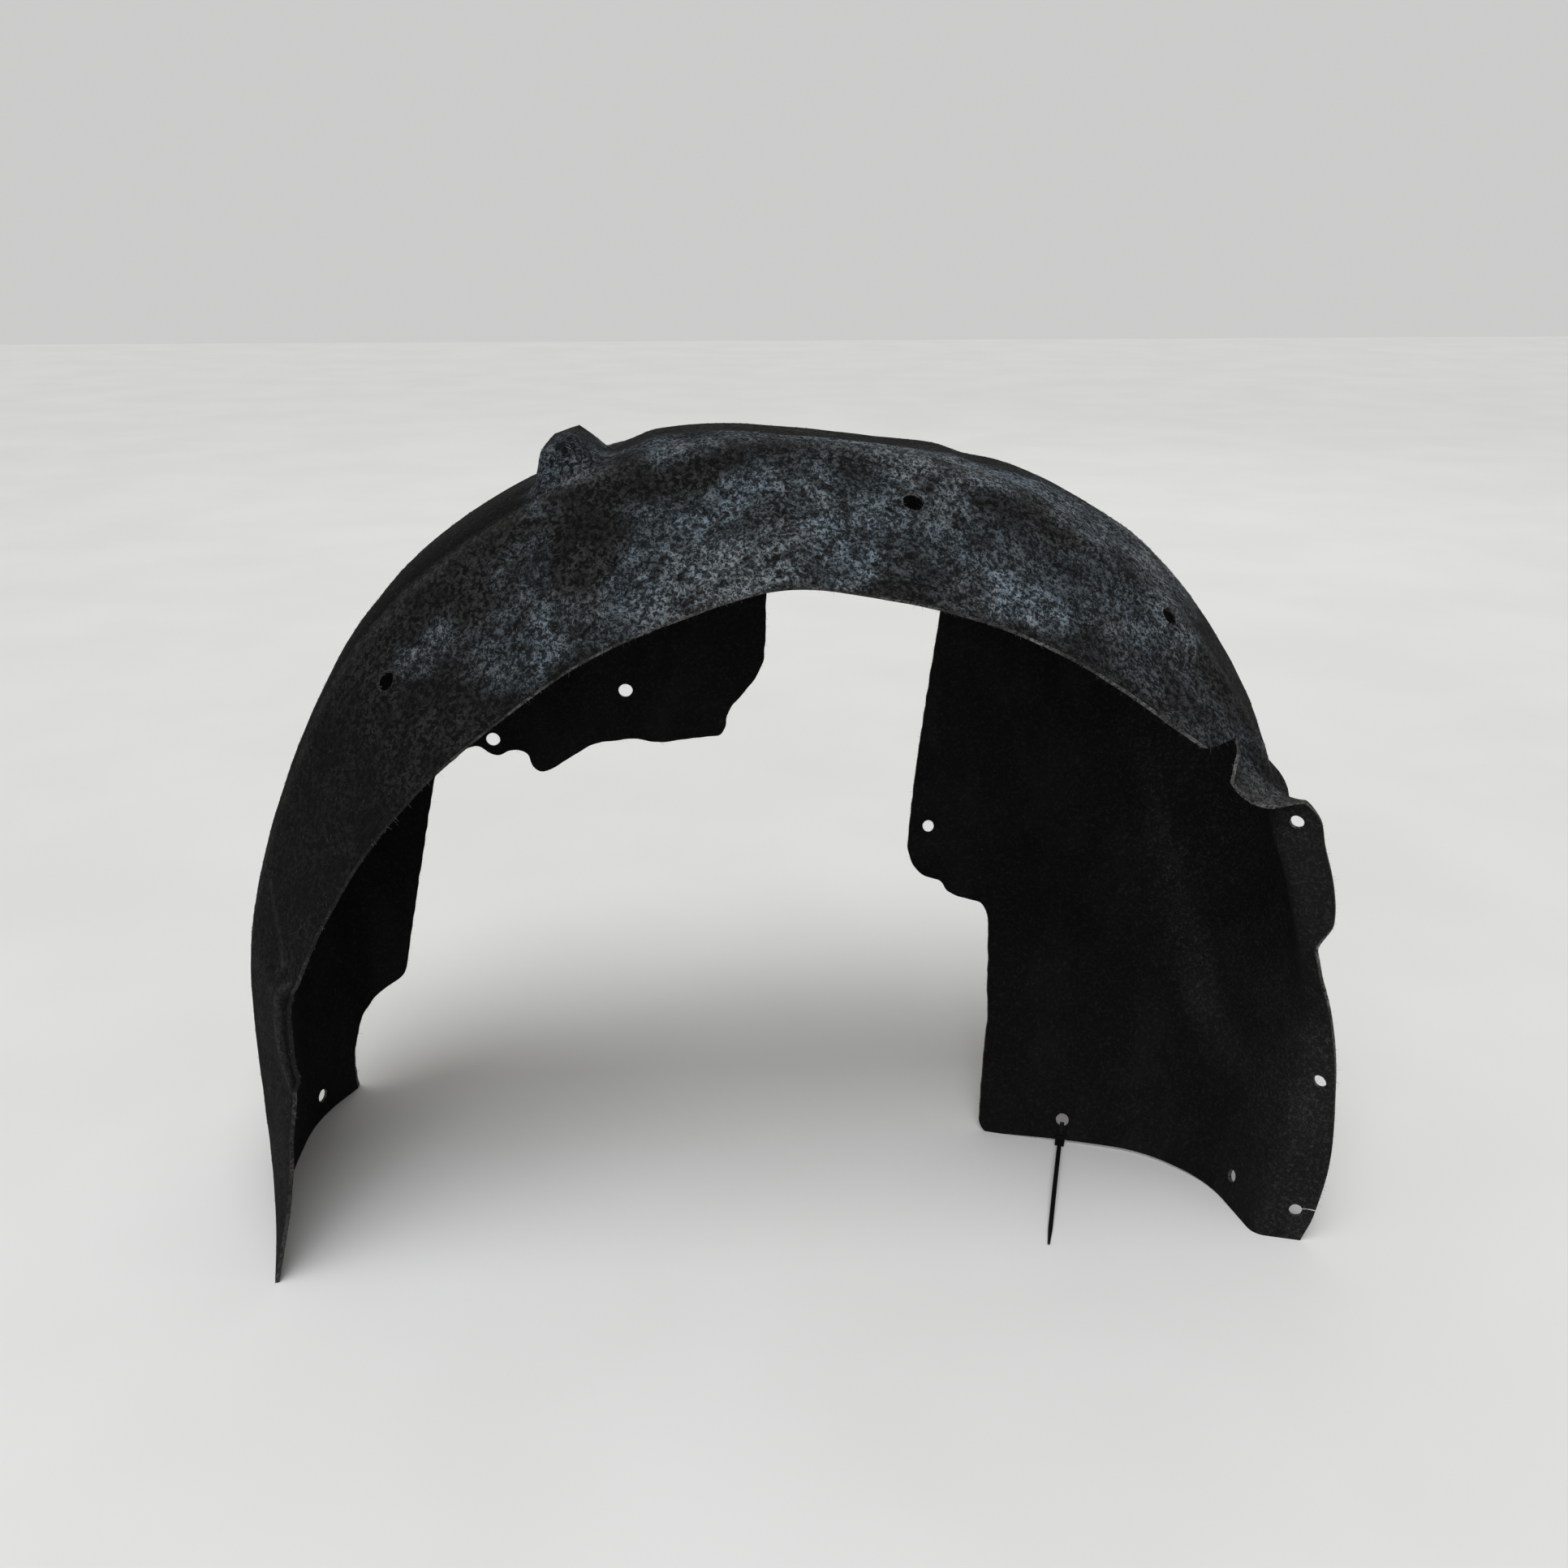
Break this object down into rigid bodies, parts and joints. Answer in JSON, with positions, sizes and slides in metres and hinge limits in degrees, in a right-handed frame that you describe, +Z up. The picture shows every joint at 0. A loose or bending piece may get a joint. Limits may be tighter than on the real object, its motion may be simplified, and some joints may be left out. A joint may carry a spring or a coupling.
{
  "type": "wheel arch liner",
  "caption": "Wheel arch liner of pressed felt: a rounded tunnel over the wheel, with a flanged leg, a trimmed inboard wall and fixing holes.",
  "frame": {"origin": "under the middle of the liner's bounding box, on the floor that its two feet stand on", "axes": "+X along the car from the plain left leg to the flanged right leg, +Y from the free front lip to the inboard wall, +Z up"},
  "size_m": [0.8194, 0.3048, 0.6021],
  "materials": {
    "felt": "matte fibrous pressed felt",
    "tie": "satin moulded nylon"
  },
  "bodies": {
    "root": {"arch_liner": "felt", "cable_tie": "tie"}
  },
  "joints": []
}
